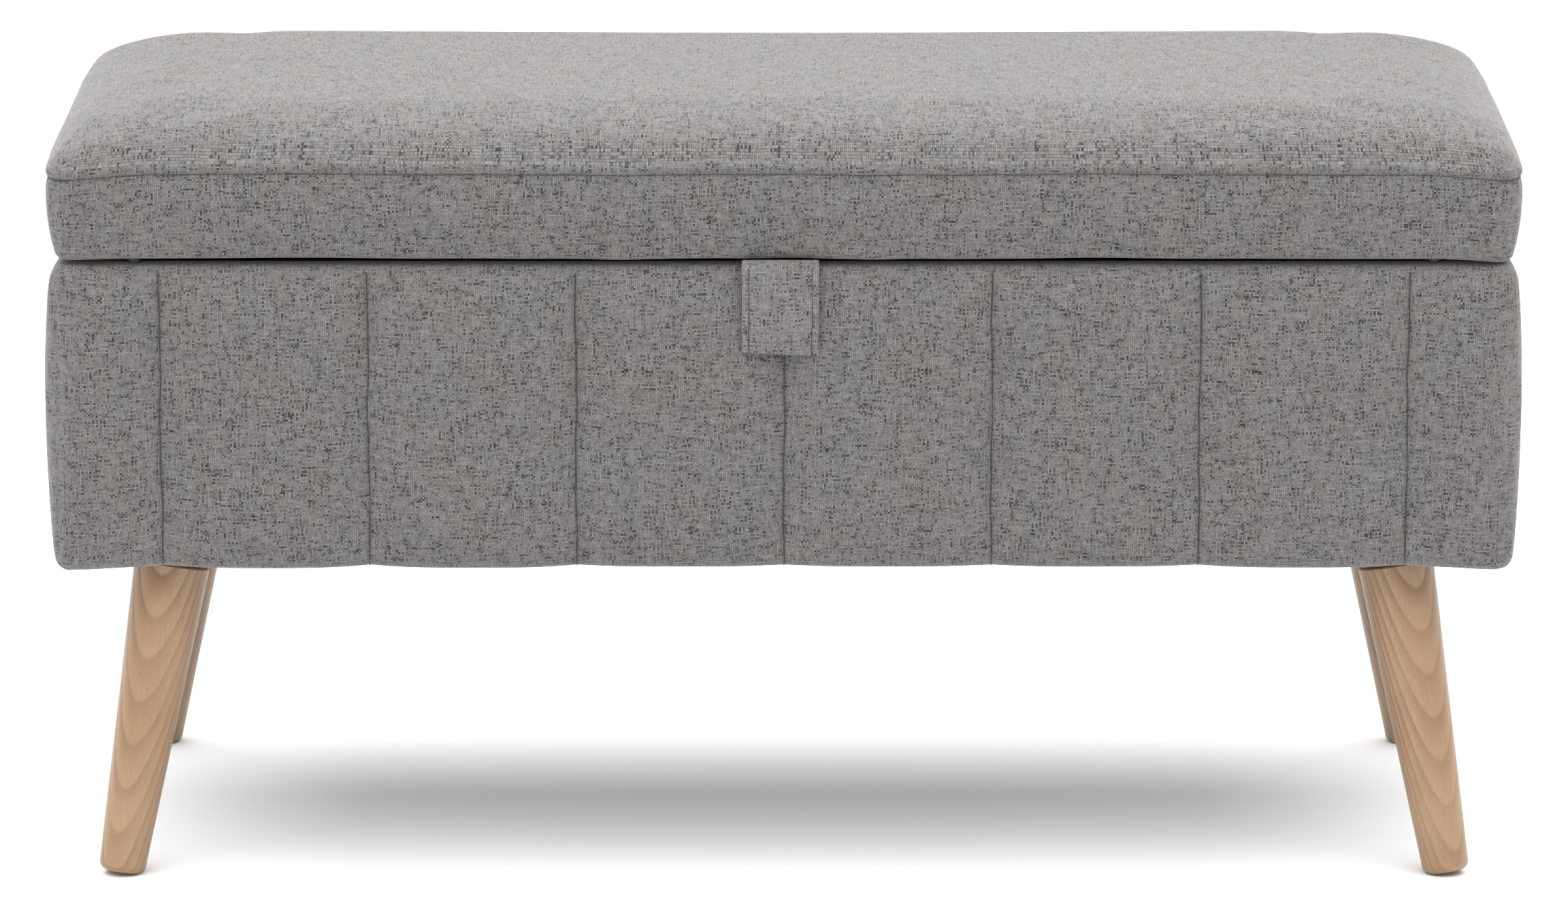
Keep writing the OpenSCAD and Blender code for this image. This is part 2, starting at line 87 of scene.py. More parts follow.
# %% A helper that builds node trees
class Tree:
    def __init__(self, tree):
        self.tree = tree

    def add(self, kind, inputs=(), **settings):
        node = self.tree.nodes.new(kind)
        for key, value in settings.items():
            setattr(node, key, value)
        for key, value in dict(inputs).items():
            self.put(node.inputs[key], value)
        return node

    def put(self, socket, value):
        if isinstance(value, bpy.types.NodeSocket):
            self.tree.links.new(value, socket)
        else:
            socket.default_value = value

    def math(self, operation, *values, clamp=False):
        node = self.add("ShaderNodeMath", enumerate(values), operation=operation, use_clamp=clamp)
        return node.outputs[0]

    def vector(self, operation, *values):
        node = self.add("ShaderNodeVectorMath", enumerate(values), operation=operation)
        return node.outputs[0]

    def scaled(self, vector, factor):
        node = self.add("ShaderNodeVectorMath", {0: vector, "Scale": factor}, operation="SCALE")
        return node.outputs[0]

    def xyz(self, x=0.0, y=0.0, z=0.0):
        return self.add("ShaderNodeCombineXYZ", {0: x, 1: y, 2: z}).outputs[0]

    def split(self, vector):
        return self.add("ShaderNodeSeparateXYZ", {0: vector}).outputs

    def noise(self, vector, scale, detail=2.0, rough=0.5, out="Fac"):
        node = self.add("ShaderNodeTexNoise",
                        {"Vector": vector, "Scale": scale, "Detail": detail, "Roughness": rough})
        return node.outputs[out]

    def ramp(self, value, stops):
        node = self.add("ShaderNodeValToRGB", {0: value})
        band = node.color_ramp.elements
        while len(band) < len(stops):
            band.new(0.5)
        for element, (place, colour) in zip(band, stops):
            element.position = place
            element.color = (*colour, 1.0)
        return node.outputs[0]

    def mix(self, factor, a, b, blend="MIX"):
        node = self.add("ShaderNodeMix", data_type="RGBA", blend_type=blend)
        for socket, value in zip((node.inputs[0], node.inputs[6], node.inputs[7]), (factor, a, b)):
            if isinstance(value, tuple):
                value = (*value, 1.0)
            self.put(socket, value)
        return node.outputs[2]

    def between(self, value, low, high, to_low=0.0, to_high=1.0):
        node = self.add("ShaderNodeMapRange", {0: value, 1: low, 2: high, 3: to_low, 4: to_high})
        return node.outputs[0]


def material(name, **surface):
    """A new material, its tree, and its Principled shader with the constant settings given."""
    made = bpy.data.materials.new(name)
    made.use_nodes = True
    tree = Tree(made.node_tree)
    shader = made.node_tree.nodes["Principled BSDF"]
    for key, value in surface.items():
        shader.inputs[key.replace("_", " ")].default_value = value
    return made, tree, shader


def bump(tree, shader, height, distance, strength=1.0):
    """Raises the surface by a height pattern, up to the given distance in metres."""
    raised = tree.add("ShaderNodeBump",
                      {"Height": height, "Distance": distance, "Strength": strength}).outputs[0]
    tree.put(shader.inputs["Normal"], raised)

# %% [markdown]
# ## The cover cloth
# The cloth is a plain weave of melange yarns about 1.3 mm apart: light grey, charcoal and a few
# tan fibres, with thick dark slubs here and there. A picture of cloth would blur up close, so
# the weave is worked out from the cover's own UV map, which is in metres. Whole numbers of yarns
# tell which yarn a point is on, a checker rule tells which of the two yarns lies on top, and
# each yarn has its own tone that changes slowly along its length.

# %% Weave the cover cloth
YARN = 1.32 * MM
CLOTH_STOPS = [
    (0.25, (0.012, 0.0122, 0.0131)),
    (0.36, (0.038, 0.0366, 0.0372)),
    (0.435, (0.107, 0.1012, 0.0993)),
    (0.64, (0.176, 0.1675, 0.1642)),
]
TAN = (1.035, 0.995, 0.965)
BLUE = (0.975, 1.0, 1.025)
NEW_YARN = 7.31     # steps through the noise from one yarn to the next: nothing in common
ALONG_YARN = 0.13   # steps along one yarn: the tone changes over about eight crossings
WEFT_APART = 9.0    # keeps the weft's tones off the warp's


def woven(name, lighter=1.0, yarn=YARN, sheen=0.3):
    made, t, shader = material(name, Roughness=0.92, Sheen_Weight=sheen, Sheen_Roughness=0.45,
                               Specular_IOR_Level=0.18)
    uv = t.add("ShaderNodeUVMap", uv_map="UVMap").outputs[0]
    slow = t.vector("SUBTRACT", t.noise(uv, 30.0, out="Color"), (0.5, 0.5, 0.5))
    quick = t.vector("SUBTRACT", t.noise(uv, 420.0, out="Color"), (0.5, 0.5, 0.5))
    place = t.vector("ADD", t.scaled(uv, 1.0 / yarn), t.scaled(slow, 1.6))
    place = t.vector("ADD", place, t.scaled(quick, 0.30))
    u, v, _ = t.split(place)
    yarn_u = t.math("FLOOR", u)
    yarn_v = t.math("FLOOR", v)
    in_u = t.math("SUBTRACT", t.math("FRACT", u), 0.5)
    in_v = t.math("SUBTRACT", t.math("FRACT", v), 0.5)
    weft_on_top = t.math("PINGPONG", t.math("ADD", yarn_u, yarn_v), 1.0)

    def pick(warp, weft):
        return t.add("ShaderNodeMix", {0: weft_on_top, 2: warp, 3: weft},
                     data_type="FLOAT").outputs[0]

    warp_place = t.xyz(t.math("MULTIPLY", yarn_u, NEW_YARN), t.math("MULTIPLY", v, ALONG_YARN))
    weft_place = t.xyz(t.math("MULTIPLY", u, ALONG_YARN), t.math("MULTIPLY", yarn_v, NEW_YARN),
                       WEFT_APART)
    warp_tone = t.noise(warp_place, 1.0, 3.0, 0.6)
    weft_tone = t.noise(weft_place, 1.0, 3.0, 0.6)
    crossing = t.add("ShaderNodeTexWhiteNoise", {"Vector": t.xyz(yarn_u, yarn_v)},
                     noise_dimensions="2D").outputs["Value"]
    tone = t.math("ADD", pick(warp_tone, weft_tone), t.between(crossing, 0.0, 1.0, -0.055, 0.055))
    colour = t.ramp(tone, [(stop, tuple(c * lighter for c in shade)) for stop, shade in CLOTH_STOPS])
    patches = t.noise(t.vector("MULTIPLY", uv, (1.0, 0.6, 1.0)), 26.0, 3.0, 0.6)
    tint = t.mix(t.between(patches, 0.38, 0.62), TAN, BLUE)
    colour = t.mix(1.0, colour, tint, "MULTIPLY")
    # Painted shade of the weave: below, the colour is darkened down the yarns' sides and most in the holes where
    # they cross, and lifted on the yarns' crowns.
    across = t.math("POWER", t.math("ABSOLUTE", pick(in_u, in_v)), 2.0)
    along = t.math("POWER", t.math("ABSOLUTE", pick(in_v, in_u)), 2.0)
    round_yarn = t.math("SUBTRACT", 1.0, t.math("MULTIPLY", across, 1.9))
    bent_yarn = t.math("SUBTRACT", round_yarn, t.math("MULTIPLY", along, 0.9))
    hole = t.math("MULTIPLY", t.math("MULTIPLY", across, along), 5.0)
    height = t.math("SUBTRACT", bent_yarn, hole)
    weave_shade = t.between(height, 0.04, 0.85, 0.16, 1.20)
    shade = t.xyz(weave_shade, weave_shade, weave_shade)
    t.put(shader.inputs["Base Color"], t.mix(1.0, colour, shade, "MULTIPLY"))
    bump(t, shader, height, 0.30 * MM, 0.75)
    return made


cover_cloth = woven("cover_cloth")
# The tab is the same cloth, painted 12 percent lighter: painted light for its front, which leans back towards the
# light above.
tab_cloth_painted_lighter = woven("tab_cloth_painted_lighter", lighter=1.12)
print("cover cloth woven at", round(YARN / MM, 2), "mm a yarn")

# %% [markdown]
# ## Threads
# Thread is a smooth twisted cord under half a millimetre thick. At this size a fine diagonal
# line pattern on the thread's own coordinates is enough to read as its twist.

# %% Thread finish
TWISTS = 5200.0


def thread_finish(name, colour):
    made, t, shader = material(name, Roughness=0.6, Sheen_Weight=0.2, Specular_IOR_Level=0.3)
    where = t.add("ShaderNodeTexCoord").outputs["Object"]
    x, y, z = t.split(where)
    slant = t.math("ADD", t.math("ADD", x, y), z)
    turn = t.math("SINE", t.math("MULTIPLY", slant, TWISTS))
    # The twist's low grooves are painted darker than its raised plies: painted shade of the twist.
    dark = tuple(c * 0.55 for c in colour)
    t.put(shader.inputs["Base Color"], t.mix(t.between(turn, -1.0, 1.0), dark, colour))
    bump(t, shader, turn, 0.05 * MM, 0.6)
    return made


light_thread = thread_finish("light_thread", (0.25, 0.245, 0.24))
# The dark thread is near black; laid as a continuous cord in the seam grooves it also stands for the creases'
# painted shade.
dark_thread_and_crease_shade = thread_finish("dark_thread_and_crease_shade", (0.035, 0.034, 0.036))

# %% [markdown]
# ## A padded outline
# Seen from above, the box and the lid are rectangles with rounded corners. Both covers are made
# on the same idea: a grid of lines across the rectangle, whose corner cells are pushed onto an
# arc. Its border gives the columns of the upright sides, and on the lid the grid itself is the
# top. All faces are then four-sided, which cloth simulation and subdivision both like, and the
# UV map can be written in metres while the mesh is made, so that the yarns never stretch.

# %% Lay out grid lines and the outline
CLOSE_TO_SEAM = [0.9, 2.4, 5.2, 10.0, 17.5, 27.5]
Border = namedtuple("Border", "i j x y nx ny gx gy")


def lines_between(a, b, step=11.5 * MM):
    """Places from a to b, close together near both ends, without b itself."""
    room = (b - a) / 2
    near = [n * MM for n in CLOSE_TO_SEAM if n * MM < room - 3 * MM]
    first = near[-1] if near else 0.0
    count = max(1, math.ceil((2 * (room - first)) / step))
    middle = [a + first + (b - a - 2 * first) * k / count for k in range(count + 1)]
    left = [a] + [a + n for n in near[:-1]]
    right = [b - n for n in reversed(near[:-1])]
    return left + (middle if near else middle[1:-1]) + right


def grid_lines(half, corner, seams, corner_steps):
    """Grid lines across the whole width: the corner zones, and between them the seams."""
    reach = half - corner
    arc = [reach + corner * k / corner_steps for k in range(1, corner_steps + 1)]
    stops = [-reach] + sorted(seams) + [reach]
    straight = [x for a, b in zip(stops, stops[1:]) for x in lines_between(a, b)]
    return [-x for x in reversed(arc)] + straight + [reach] + arc


def round_off(x, y, hx, hy, corner):
    """Moves a point of the square-cornered rectangle into the one with rounded corners."""
    a = abs(x) - (hx - corner)
    b = abs(y) - (hy - corner)
    if a <= 0 or b <= 0:
        return x, y
    full = 2 * corner * corner
    new_a = a * math.sqrt(1 - b * b / full)
    new_b = b * math.sqrt(1 - a * a / full)
    return math.copysign(hx - corner + new_a, x), math.copysign(hy - corner + new_b, y)


def outline_of(gx, gy, hx, hy, corner):
    """Border points of the grid, anticlockwise from the front left, each with its normal."""
    around = [(i, 0) for i in range(len(gx) - 1)]
    around += [(len(gx) - 1, j) for j in range(len(gy) - 1)]
    around += [(i, len(gy) - 1) for i in range(len(gx) - 1, 0, -1)]
    around += [(0, j) for j in range(len(gy) - 1, 0, -1)]
    points = []
    for i, j in around:
        x, y = round_off(gx[i], gy[j], hx, hy, corner)
        nx = x - math.copysign(min(abs(x), hx - corner), x)
        ny = y - math.copysign(min(abs(y), hy - corner), y)
        length = math.hypot(nx, ny)
        points.append(Border(i, j, x, y, nx / length, ny / length, gx[i], gy[j]))
    return points


def smooth(t):
    t = min(1.0, max(0.0, t))
    return t * t * (3 - 2 * t)


print("outline helpers ready")

# %% [markdown]
# ## From rings to a mesh
# A cover is a stack of rings, one above the other. Each ring has one point for every place on
# the outline. Joining ring to ring gives the walls. The `u` of the UV map is the distance round
# the outline, and `v` is the distance up the wall, both in metres.

# %% Join rings into a closed skin
LAST_RISE = 0.05
CAP_UV = (2.0, 1.0)


def distances(points):
    """Running length round a ring, with the closing step at the end."""
    steps = np.linalg.norm(np.roll(points, -1, axis=0) - points, axis=1)
    return np.concatenate([[0.0], np.cumsum(steps)])


def skin(name, rings, base_ring, cap=None, closed=False):
    """A mesh from rings of equal length. A closed skin joins its last ring to its first. Each
    entry of cap fills one ring: (grid of points, border order, ring number, face down)."""
    rings = np.array(rings)
    rows, columns, _ = rings.shape
    u = distances(rings[base_ring])
    rise = np.linalg.norm(np.diff(rings, axis=0), axis=2).mean(axis=1)
    v = np.concatenate([[0.0], np.cumsum(rise)])
    verts = rings.reshape(-1, 3).tolist()
    faces, uvs = [], []
    for r in range(rows if closed else rows - 1):
        up = (r + 1) % rows
        high = v[r + 1] if r + 1 < rows else v[r] + LAST_RISE
        for c in range(columns):
            side = (c + 1) % columns
            faces.append((r * columns + c, r * columns + side,
                          up * columns + side, up * columns + c))
            uvs += [(u[c], v[r]), (u[c + 1], v[r]), (u[c + 1], high), (u[c], high)]
    for grid, border, row, flip in cap or []:
        index = {}
        for k, (i, j) in enumerate(border):
            index[i, j] = row * columns + k
        ni, nj, _ = grid.shape
        for i in range(1, ni - 1):
            for j in range(1, nj - 1):
                index[i, j] = len(verts)
                verts.append(grid[i, j].tolist())
        for i in range(ni - 1):
            for j in range(nj - 1):
                cell = [(i, j), (i + 1, j), (i + 1, j + 1), (i, j + 1)]
                if flip:
                    cell.reverse()
                faces.append(tuple(index[c] for c in cell))
                uvs += [(grid[c][0] + CAP_UV[0], grid[c][1] + CAP_UV[1]) for c in cell]
    mesh = bpy.data.meshes.new(name)
    mesh.from_pydata(verts, [], faces)
    layer = mesh.uv_layers.new(name="UVMap")
    layer.data.foreach_set("uv", np.array(uvs).ravel())
    mesh.polygons.foreach_set("use_smooth", [True] * len(faces))
    made = bpy.data.objects.new(name, mesh)
    scene.collection.objects.link(made)
    return made


def coordinates(mesh):
    co = np.empty(len(mesh.vertices) * 3)
    mesh.vertices.foreach_get("co", co)
    return co.reshape(-1, 3)

# %% [markdown]
# ## Puffing with cloth simulation
# A sewn cover puffs out between its seams because foam presses from inside. That is what a cloth
# simulation with pressure does: the seams and the stapled edges are pinned, and everything else
# may move. How far a point may move is capped, because foam swells by a few millimetres only.
# The result is written into the mesh, and the simulation is removed.

# %% Puff a cover out
def puff(cover, pinned, pressure, cap, growth, frames=18):
    start = coordinates(cover.data)
    group = cover.vertex_groups.new(name="pinned")
    for weight in sorted(set(pinned.values())):
        group.add([i for i, w in pinned.items() if w == weight], weight, "REPLACE")
    cloth = cover.modifiers.new("cloth", "CLOTH")
    settings = cloth.settings
    settings.quality = 6
    settings.mass = 0.25
    settings.tension_stiffness = 12
    settings.compression_stiffness = 12
    settings.shear_stiffness = 6
    settings.bending_stiffness = 1.2
    settings.use_pressure = True
    settings.uniform_pressure_force = pressure
    settings.vertex_group_mass = "pinned"
    settings.shrink_min = -growth
    settings.effector_weights.gravity = 0
    cloth.collision_settings.use_collision = False
    cloth.point_cache.frame_start = 1
    cloth.point_cache.frame_end = frames
    for f in range(1, frames + 1):
        scene.frame_set(f)
    evaluated = cover.evaluated_get(bpy.context.evaluated_depsgraph_get())
    end = coordinates(evaluated.to_mesh())
    evaluated.to_mesh_clear()
    cover.modifiers.remove(cloth)
    cover.vertex_groups.remove(group)
    scene.frame_set(1)
    move = end - start
    size = np.linalg.norm(move, axis=1)
    limit = np.minimum(1.0, cap / np.maximum(size, 1e-9))
    print(f"{cover.name}: puffed {size.mean() / MM:.1f} mm on average, {size.max() / MM:.1f} at most")
    return start + move * limit[:, None]


def finish_soft(cover, points, fill, body, *stands_for):
    """Writes the points, smooths once and files the piece with its body."""
    cover.data.vertices.foreach_set("co", points.ravel())
    cover.data.update()
    round_out = cover.modifiers.new("round", "SUBSURF")
    round_out.levels = round_out.render_levels = 1
    cover.data.materials.append(cover_cloth)
    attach(cover, body)
    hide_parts(*stands_for)

# %% [markdown]
# ## The box cover
# The cover of the box is one long padded wall that runs all the way round. Vertical seams are
# sewn through it every 141 mm and pull it in. Between them the foam pushes the cloth out a few
# millimetres, most at mid-height. Below, the cloth turns under the floor, where it hangs a
# little lower between the seams than at them. At the top it turns over the rim and down inside.

# %% Shape the box cover
CHANNEL = 141 * MM
PAD_CORNER = 15 * MM
SEAM_DEPTH = 2.8 * MM
REST_IN = 3.6 * MM
HEM = 36.5 * MM
FOOT_ROUND = 10 * MM
TOP_ROUND = 11 * MM
TURN_STEPS = 5
WALL_ROWS = 20
CORNER_STEPS = 4
front_seams = [k * CHANNEL for k in range(-3, 4)]
end_seams = [k * CHANNEL for k in (-1, 0, 1)]
box_gx = grid_lines(half_w, PAD_CORNER, front_seams, CORNER_STEPS)
box_gy = grid_lines(half_d, PAD_CORNER, end_seams, CORNER_STEPS)
box_outline = outline_of(box_gx, box_gy, half_w, half_d, PAD_CORNER)
random.seed(7)
wave = [(random.uniform(0.6, 1.4), random.uniform(0, 6.28)) for _ in range(24)]


def stop_list(along, seams, half):
    """The seam or corner before and after a place on one side, and the nearest seam's number."""
    stops = [-half] + seams + [half]
    after = next(i for i, s in enumerate(stops) if along <= s + 1e-7)
    before = max(after - 1, 0)
    return stops[before], stops[max(after, 1)], before


def side_of(point):
    """Along-the-side place, that side's seams and half length, and a number for the side."""
    if abs(point.ny) > abs(point.nx):
        return point.gx, front_seams, half_w, 0 if point.ny < 0 else 2
    return point.gy, end_seams, half_d, 1 if point.nx > 0 else 3


def is_at_seam(point):
    along, seams, _, _ = side_of(point)
    return min(abs(along - s) for s in seams) < 0.2 * MM


def box_column(point):
    """Offsets and heights of one column of the box cover, from the hem to the hidden inside."""
    along, seams, half, side = side_of(point)
    a, b, number = stop_list(along, seams, half)
    t = (along - a) / (b - a)
    near = min(abs(along - s) for s in seams)
    lone_corner = smooth(1 - (half - abs(along)) / (60 * MM))
    strength, phase = wave[(number + 7 * side) % len(wave)]
    swell = 1 - abs(2 * t - 1) ** 3
    sag = 2.4 * MM * swell * strength + 2.6 * MM * lone_corner
    low = box_lo.z - 0.2 * MM - sag
    top = box_hi.z + 0.1 * MM
    lane = [(-HEM, box_lo.z - 0.3 * MM), (-22 * MM, box_lo.z - 0.6 * MM - sag * 0.3)]
    for k in range(TURN_STEPS):
        turn = math.radians(-90 + 22.5 * k)
        lane.append((-REST_IN - FOOT_ROUND + FOOT_ROUND * math.cos(turn),
                     low + FOOT_ROUND + FOOT_ROUND * math.sin(turn)))
    base, crest = low + FOOT_ROUND, top - TOP_ROUND
    for k in range(1, WALL_ROWS):
        lane.append((-REST_IN, base + (crest - base) * k / WALL_ROWS))
    for k in range(TURN_STEPS):
        turn = math.radians(22.5 * k)
        lane.append((-REST_IN - TOP_ROUND + TOP_ROUND * math.cos(turn),
                     crest + TOP_ROUND * math.sin(turn)))
    inner = -wall - 1.6 * MM
    lane += [(-19 * MM, top), (inner + 4 * MM, top), (inner + 1 * MM, top - 1 * MM),
             (inner, top - 4 * MM), (inner, top - 15 * MM), (inner + 8 * MM, top - 15 * MM),
             (inner + 8 * MM, box_lo.z + 8 * MM), (-HEM, box_lo.z + 2 * MM)]
    height = top - low
    out = []
    for o, z in lane:
        w = (z - low) / height
        on_face = smooth((o + 12 * MM) / (8 * MM)) if z < top - 0.1 * MM else 0.0
        body = 1 - abs(2 * w - 1) ** 4 if 0 < w < 1 else 0.0
        puffed = 3.4 * MM * swell * strength ** 0.5 * body
        groove = -(SEAM_DEPTH * math.exp(-near / (1.0 * MM))
                   + 0.8 * MM * math.exp(-near / (7 * MM)))
        groove *= smooth(w * 12) * smooth((1.02 - w) * 12)
        wander = math.sin(z / (19 * MM) + phase) + 0.6 * math.sin(z / (7 * MM) + 2 * phase + side)
        wander *= 0.55 * MM * math.exp(-near / (14 * MM)) * body
        ripple = 0.55 * MM * math.exp(-((near - 7 * MM) / (7 * MM)) ** 2) * math.sin(
            z / (2.9 * MM) + phase * 3 + 1.7 * math.sin(z / (11 * MM) + phase))
        out.append((o + (puffed + groove + ripple * body) * on_face, z, wander * on_face))
    return out


HEM_ROWS = 2
INSIDE_ROWS = 11
WIDEST_RING = 12
columns = [box_column(p) for p in box_outline]
box_rings = []
for r in range(len(columns[0])):
    ring = []
    for point, lane in zip(box_outline, columns):
        o, z, aside = lane[r]
        ring.append((point.x + point.nx * o - point.ny * aside,
                     point.y + point.ny * o + point.nx * aside, z))
    box_rings.append(ring)
box_cover = skin("box_cover_padded", box_rings, WIDEST_RING, closed=True)
print(f"box cover: {len(box_outline)} columns by {len(box_rings)} rings")

# %% Puff and file the box cover
box_pins = {}
ring_count = len(box_outline)
side_rows = range(HEM_ROWS + 2, len(columns[0]) - INSIDE_ROWS)
for r in range(len(columns[0])):
    for c, point in enumerate(box_outline):
        if is_at_seam(point) or r not in side_rows:
            box_pins[r * ring_count + c] = 1.0
box_points = puff(box_cover, box_pins, pressure=1.5, cap=2.8 * MM, growth=0.003)
finish_soft(box_cover, box_points, 0.6, "box",
            "box_cover", "foam_front", "foam_back", "foam_left", "foam_right")

# %% [markdown]
# ## The lid cover
# The lid is a board with thick foam on it. Its cover has three parts: a straight band of cloth
# round the sides, a narrow flat welt above it with a seam below and a line of stitches above,
# and a top panel that rolls over the edge of the foam. The welt dips a little at the corners,
# where the top panel pulls hardest. The top is an ellipse in section near the edge and almost
# flat in the middle.

# %% Shape the lid cover
LID_CORNER = 22 * MM
WELT = 7.6 * MM
ROLL = 78 * MM
BAND_IN = 5.4 * MM
BAND_ROUND = 5.5 * MM
BAND_ROWS = 9
TOP_IN = 2.6 * MM
seam_z = lid_lo.z + 59.5 * MM
crest_z = lid_hi.z - 2.2 * MM
lid_gx = grid_lines(half_w, LID_CORNER, [], CORNER_STEPS)
lid_gy = grid_lines(half_d, LID_CORNER, [], CORNER_STEPS)
lid_outline = outline_of(lid_gx, lid_gy, half_w, half_d, LID_CORNER)


def corner_pull(gx, gy, reach=75 * MM):
    """1 at a corner of the lid, 0 once further from it than reach."""
    away = math.hypot(half_w - abs(gx), half_d - abs(gy))
    return smooth(1 - away / reach)


def lid_column(point):
    """Offsets and heights of one column of the lid's sides, from the hem to the welt's top."""
    pull = corner_pull(point.gx, point.gy)
    angle = math.atan2(point.y, point.x)
    drift = (math.sin(7 * angle + 0.6) * 0.5 + math.sin(17 * angle + 2.0) * 0.3
             + math.sin(31 * angle) * 0.2)
    front_right = point.x > 0 and point.y < 0
    droop = (3.0 if front_right else 1.2) * MM * corner_pull(point.gx, point.gy, 60 * MM)
    low = lid_lo.z + 0.2 * MM + 0.8 * MM * drift - droop
    seam = seam_z - 4.6 * MM * pull + 0.7 * MM * drift
    lane = [(-HEM, lid_lo.z - 0.3 * MM), (-24 * MM, lid_lo.z - 0.1 * MM),
            (-14 * MM, (low + lid_lo.z) / 2)]
    for k in range(TURN_STEPS):
        turn = math.radians(-90 + 22.5 * k)
        lane.append((-BAND_IN - BAND_ROUND + BAND_ROUND * math.cos(turn),
                     low + BAND_ROUND + BAND_ROUND * math.sin(turn)))
    base = low + BAND_ROUND
    for k in range(1, BAND_ROWS):
        t = k / BAND_ROWS
        bulge = 5.0 * MM * math.sin(math.pi * t * 0.62) ** 0.8
        lane.append((-BAND_IN + bulge, base + (seam - 2.0 * MM - base) * t))
    lane += [(-1.3 * MM, seam - 1.9 * MM), (-3.0 * MM, seam), (-0.9 * MM, seam + 1.5 * MM)]
    lane += [(-0.5 * MM, seam + 3.2 * MM), (-0.8 * MM, seam + WELT - 2.4 * MM),
             (-1.6 * MM, seam + WELT - 0.9 * MM), (-TOP_IN, seam + WELT)]
    corner_seam = -1.2 * MM * math.exp(-abs(abs(point.nx) - abs(point.ny)) / 0.16)
    return [(o + (corner_seam if base < z < seam else 0.0), z) for o, z in lane]


lid_columns = [lid_column(p) for p in lid_outline]
lid_rings = [[(p.x + p.nx * lane[r][0], p.y + p.ny * lane[r][0], lane[r][1])
              for p, lane in zip(lid_outline, lid_columns)] for r in range(len(lid_columns[0]))]


def crown(gx, gy, border_z):
    """Height of the top panel: an elliptical roll at each edge, and a slight rise to the middle."""
    def edge(inside):
        t = min(1.0, max(0.0, inside / ROLL))
        return math.sqrt(max(0.0, 1 - (1 - t) ** 2.15))
    inside_x, inside_y = half_w - abs(gx), half_d - abs(gy)
    lift = edge(inside_x) * edge(inside_y)
    middle = 1.5 * MM * smooth(inside_y / half_d) * smooth(inside_x / (150 * MM))
    return border_z + (crest_z - border_z) * lift + middle


def top_grid():
    """The top panel's points, with the side columns' own heights along the border."""
    border = {(p.i, p.j): lane[-1][1] for p, lane in zip(lid_outline, lid_columns)}
    mean_z = seam_z + WELT
    grid = np.zeros((len(lid_gx), len(lid_gy), 3))
    for i, gx in enumerate(lid_gx):
        for j, gy in enumerate(lid_gy):
            sx = gx * (half_w - TOP_IN) / half_w
            sy = gy * (half_d - TOP_IN) / half_d
            x, y = round_off(sx, sy, half_w - TOP_IN, half_d - TOP_IN, LID_CORNER - TOP_IN)
            near_border = corner_pull(gx, gy, 110 * MM) * -4.6 * MM
            z = border.get((i, j), crown(gx, gy, mean_z + near_border))
            grid[i, j] = (x, y, z)
    return grid


def flat_grid(z, inset):
    grid = np.zeros((len(lid_gx), len(lid_gy), 3))
    for i, gx in enumerate(lid_gx):
        for j, gy in enumerate(lid_gy):
            grid[i, j] = (gx * (half_w - inset) / half_w, gy * (half_d - inset) / half_d, z)
    return grid


border_order = [(p.i, p.j) for p in lid_outline]
underside_z = lid_lo.z + 0.5 * MM
lid_rings.insert(0, [(x, y, underside_z) for x, y, _ in lid_rings[0]])
lid_cover = skin("lid_cover_padded", lid_rings, WIDEST_RING,
                 cap=[(top_grid(), border_order, len(lid_rings) - 1, False),
                      (flat_grid(underside_z, HEM), border_order, 0, True)])
print(f"lid cover: {len(lid_cover.data.polygons)} faces, seam at {seam_z:.3f} m")

# %% Puff and file the lid cover
lid_count = len(lid_outline)
lid_start = coordinates(lid_cover.data)
ring_total = len(lid_rings)
SEAM_FROM_TOP = 6
UNDER_ROWS = 6
seam_row = ring_total - SEAM_FROM_TOP
lid_pins = {}
for r in range(ring_total):
    for c in range(lid_count):
        if r <= UNDER_ROWS or r == seam_row or r == ring_total - 1:
            lid_pins[r * lid_count + c] = 1.0
        elif r > seam_row:
            lid_pins[r * lid_count + c] = 0.5
for i in range(ring_total * lid_count, len(lid_start)):
    if lid_start[i][2] < seam_z:
        lid_pins[i] = 1.0
lid_points = puff(lid_cover, lid_pins, pressure=0.5, cap=1.5 * MM, growth=0.0)
finish_soft(lid_cover, lid_points, 0.8, "lid", "lid_cover", "lid_foam")

# %% [markdown]
# ## The pull tab
# The tab is a strip of the same cloth, folded into a loop and stapled under the lid. Its edges
# are turned in and sewn 4.6 mm from each side, which leaves a soft raised border. It is thin and
# small, so it is modelled directly: a side view of the loop, drawn as a path, is swept across
# the width, and the rows near the edges are pulled in where the stitches lie.

# %% Fold the pull tab
TAB_BORDER = 4.6 * MM
TAB_PLY = 1.5 * MM
FOLD_UP = 3 * MM
FOLD_DROP = 2.6 * MM
TAB_REACH = 24 * MM
tab_x = (tab_lo.x + tab_hi.x) / 2 - 2.4 * MM
tab_half = (tab_hi.x - tab_lo.x) / 2


